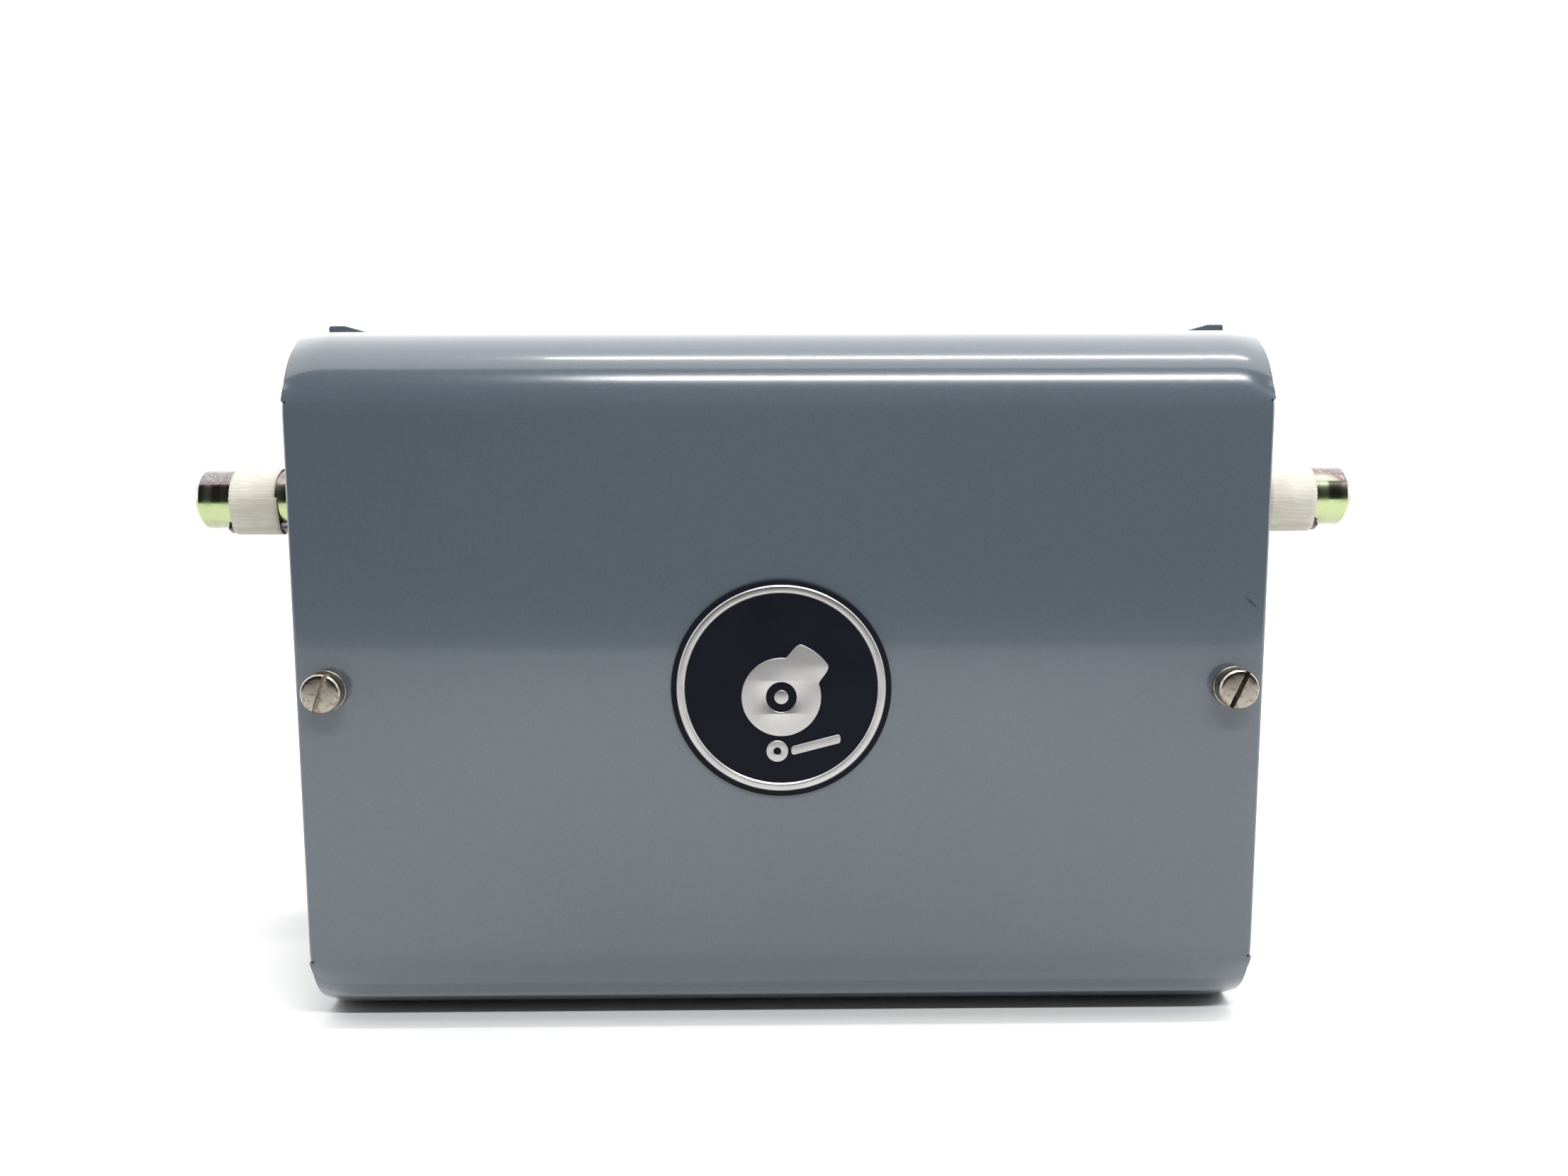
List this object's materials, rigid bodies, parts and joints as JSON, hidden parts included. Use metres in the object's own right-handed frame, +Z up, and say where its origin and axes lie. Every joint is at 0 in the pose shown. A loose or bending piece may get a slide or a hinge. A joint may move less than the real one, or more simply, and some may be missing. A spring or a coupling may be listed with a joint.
{
  "type": "rotary cam limit switch",
  "caption": "Boxy sheet-steel rotary cam limit switch: wrap-round cover on a wall plate, with a keyed through shaft that turns cams over sprung contact levers.",
  "frame": {"origin": "on the plane the case stands on, under the shaft's axis and half way along the cover", "axes": "+X along the shaft to the right seen from the front, +Y from the cover's face to the wall, +Z up"},
  "size_m": [0.309, 0.1063, 0.1776],
  "materials": {
    "grey_paint": "gloss blue-grey enamel on sheet steel",
    "yellow_zinc": "yellow-passivated zinc plating, turned",
    "screw_nickel": "warm nickel plating, turned",
    "bright_zinc": "bright zinc plating",
    "cast_metal": "fine cast, satin",
    "bronze": "sintered bearing bronze",
    "black_moulding": "black phenolic moulding",
    "paper_tape": "creped paper masking tape",
    "badge_black": "near-black enamel on foil",
    "badge_silver": "satin embossed aluminium foil"
  },
  "bodies": {
    "base": {"back_plate": "grey_paint", "earth_screw": "bright_zinc", "left_end_plate": "grey_paint", "right_end_plate": "grey_paint", "left_bearing_housing": "cast_metal", "right_bearing_housing": "cast_metal", "left_bush": "bronze", "right_bush": "bronze", "left_press_nut": "bright_zinc", "right_press_nut": "bright_zinc", "left_conduit_plug": "cast_metal", "right_conduit_plug": "cast_metal", "contact_rail": "bright_zinc", "lever_pivot_rod": "bright_zinc", "contact_block_1": "black_moulding", "contact_block_2": "black_moulding", "contact_block_3": "black_moulding", "contact_block_4": "black_moulding", "plunger_spring_1": "bright_zinc", "plunger_spring_2": "bright_zinc", "plunger_spring_3": "bright_zinc", "plunger_spring_4": "bright_zinc"},
    "cover": {"front_cover": "grey_paint", "badge_plate": "badge_black", "badge_emblem": "badge_silver", "left_screw_washer": "screw_nickel", "right_screw_washer": "screw_nickel", "left_screw_retainer": "black_moulding", "right_screw_retainer": "black_moulding"},
    "left_screw": {"left_cover_screw": "screw_nickel"},
    "right_screw": {"right_cover_screw": "screw_nickel"},
    "shaft": {"cam_shaft": "yellow_zinc", "left_shaft_key": "yellow_zinc", "right_shaft_key": "yellow_zinc", "left_key_tape": "paper_tape", "right_key_tape": "paper_tape", "left_thrust_collar": "bright_zinc", "right_thrust_collar": "bright_zinc", "cam_1_fixed": "bright_zinc", "cam_1_setting": "bright_zinc", "cam_2_fixed": "bright_zinc", "cam_2_setting": "bright_zinc", "cam_3_fixed": "bright_zinc", "cam_3_setting": "bright_zinc", "cam_4_fixed": "bright_zinc", "cam_4_setting": "bright_zinc"},
    "lever_1": {"lever_1": "bright_zinc"},
    "lever_2": {"lever_2": "bright_zinc"},
    "lever_3": {"lever_3": "bright_zinc"},
    "lever_4": {"lever_4": "bright_zinc"},
    "roller_1": {"roller_1": "bright_zinc"},
    "roller_2": {"roller_2": "bright_zinc"},
    "roller_3": {"roller_3": "bright_zinc"},
    "roller_4": {"roller_4": "bright_zinc"},
    "plunger_1": {"plunger_1": "bright_zinc"},
    "plunger_2": {"plunger_2": "bright_zinc"},
    "plunger_3": {"plunger_3": "bright_zinc"},
    "plunger_4": {"plunger_4": "bright_zinc"}
  },
  "joints": [
    {"name": "cover_off", "type": "slide", "parent": "base", "child": "cover", "axis": [0, -1, 0], "range_m": [0, 0.12]},
    {"name": "left_screw_turn", "type": "hinge", "parent": "cover", "child": "left_screw", "pos_m": [-0.107, -0.0508, 0.0845], "axis": [0, -1, 0], "continuous": true},
    {"name": "right_screw_turn", "type": "hinge", "parent": "cover", "child": "right_screw", "pos_m": [0.107, -0.0508, 0.0845], "axis": [0, -1, 0], "continuous": true},
    {"name": "shaft_turn", "type": "hinge", "parent": "base", "child": "shaft", "pos_m": [0, 0, 0.127], "axis": [1, 0, 0], "continuous": true},
    {"name": "lever_1_tilt", "type": "hinge", "parent": "base", "child": "lever_1", "pos_m": [-0.06, 0.028, 0.0947], "axis": [-1, 0, 0], "range_deg": [0, 8.2], "stiffness_Nm_per_rad": 0.35, "springref_deg": 15.07},
    {"name": "roller_1_turn", "type": "hinge", "parent": "lever_1", "child": "roller_1", "pos_m": [-0.06, 0, 0.0947], "axis": [1, 0, 0], "continuous": true},
    {"name": "plunger_1_rise", "type": "slide", "parent": "base", "child": "plunger_1", "axis": [0, 0, 1], "range_m": [0, 0.00225], "deforming": ["plunger_spring_1"]},
    {"name": "lever_2_tilt", "type": "hinge", "parent": "base", "child": "lever_2", "pos_m": [-0.02, 0.028, 0.0947], "axis": [-1, 0, 0], "range_deg": [0, 8.2], "stiffness_Nm_per_rad": 0.35, "springref_deg": 15.07},
    {"name": "roller_2_turn", "type": "hinge", "parent": "lever_2", "child": "roller_2", "pos_m": [-0.02, 0, 0.0947], "axis": [1, 0, 0], "continuous": true},
    {"name": "plunger_2_rise", "type": "slide", "parent": "base", "child": "plunger_2", "axis": [0, 0, 1], "range_m": [0, 0.00225], "deforming": ["plunger_spring_2"]},
    {"name": "lever_3_tilt", "type": "hinge", "parent": "base", "child": "lever_3", "pos_m": [0.02, 0.028, 0.0947], "axis": [-1, 0, 0], "range_deg": [0, 8.2], "stiffness_Nm_per_rad": 0.35, "springref_deg": 15.07},
    {"name": "roller_3_turn", "type": "hinge", "parent": "lever_3", "child": "roller_3", "pos_m": [0.02, 0, 0.0947], "axis": [1, 0, 0], "continuous": true},
    {"name": "plunger_3_rise", "type": "slide", "parent": "base", "child": "plunger_3", "axis": [0, 0, 1], "range_m": [0, 0.00225], "deforming": ["plunger_spring_3"]},
    {"name": "lever_4_tilt", "type": "hinge", "parent": "base", "child": "lever_4", "pos_m": [0.06, 0.028, 0.0947], "axis": [-1, 0, 0], "range_deg": [0, 8.2], "stiffness_Nm_per_rad": 0.35, "springref_deg": 15.07},
    {"name": "roller_4_turn", "type": "hinge", "parent": "lever_4", "child": "roller_4", "pos_m": [0.06, 0, 0.0947], "axis": [1, 0, 0], "continuous": true},
    {"name": "plunger_4_rise", "type": "slide", "parent": "base", "child": "plunger_4", "axis": [0, 0, 1], "range_m": [0, 0.00225], "deforming": ["plunger_spring_4"]}
  ],
  "couplings": [
    {"joint": "plunger_1_rise", "follows": "lever_1_tilt", "m_per_rad": 0.0155},
    {"joint": "plunger_2_rise", "follows": "lever_2_tilt", "m_per_rad": 0.0155},
    {"joint": "plunger_3_rise", "follows": "lever_3_tilt", "m_per_rad": 0.0155},
    {"joint": "plunger_4_rise", "follows": "lever_4_tilt", "m_per_rad": 0.0155}
  ]
}
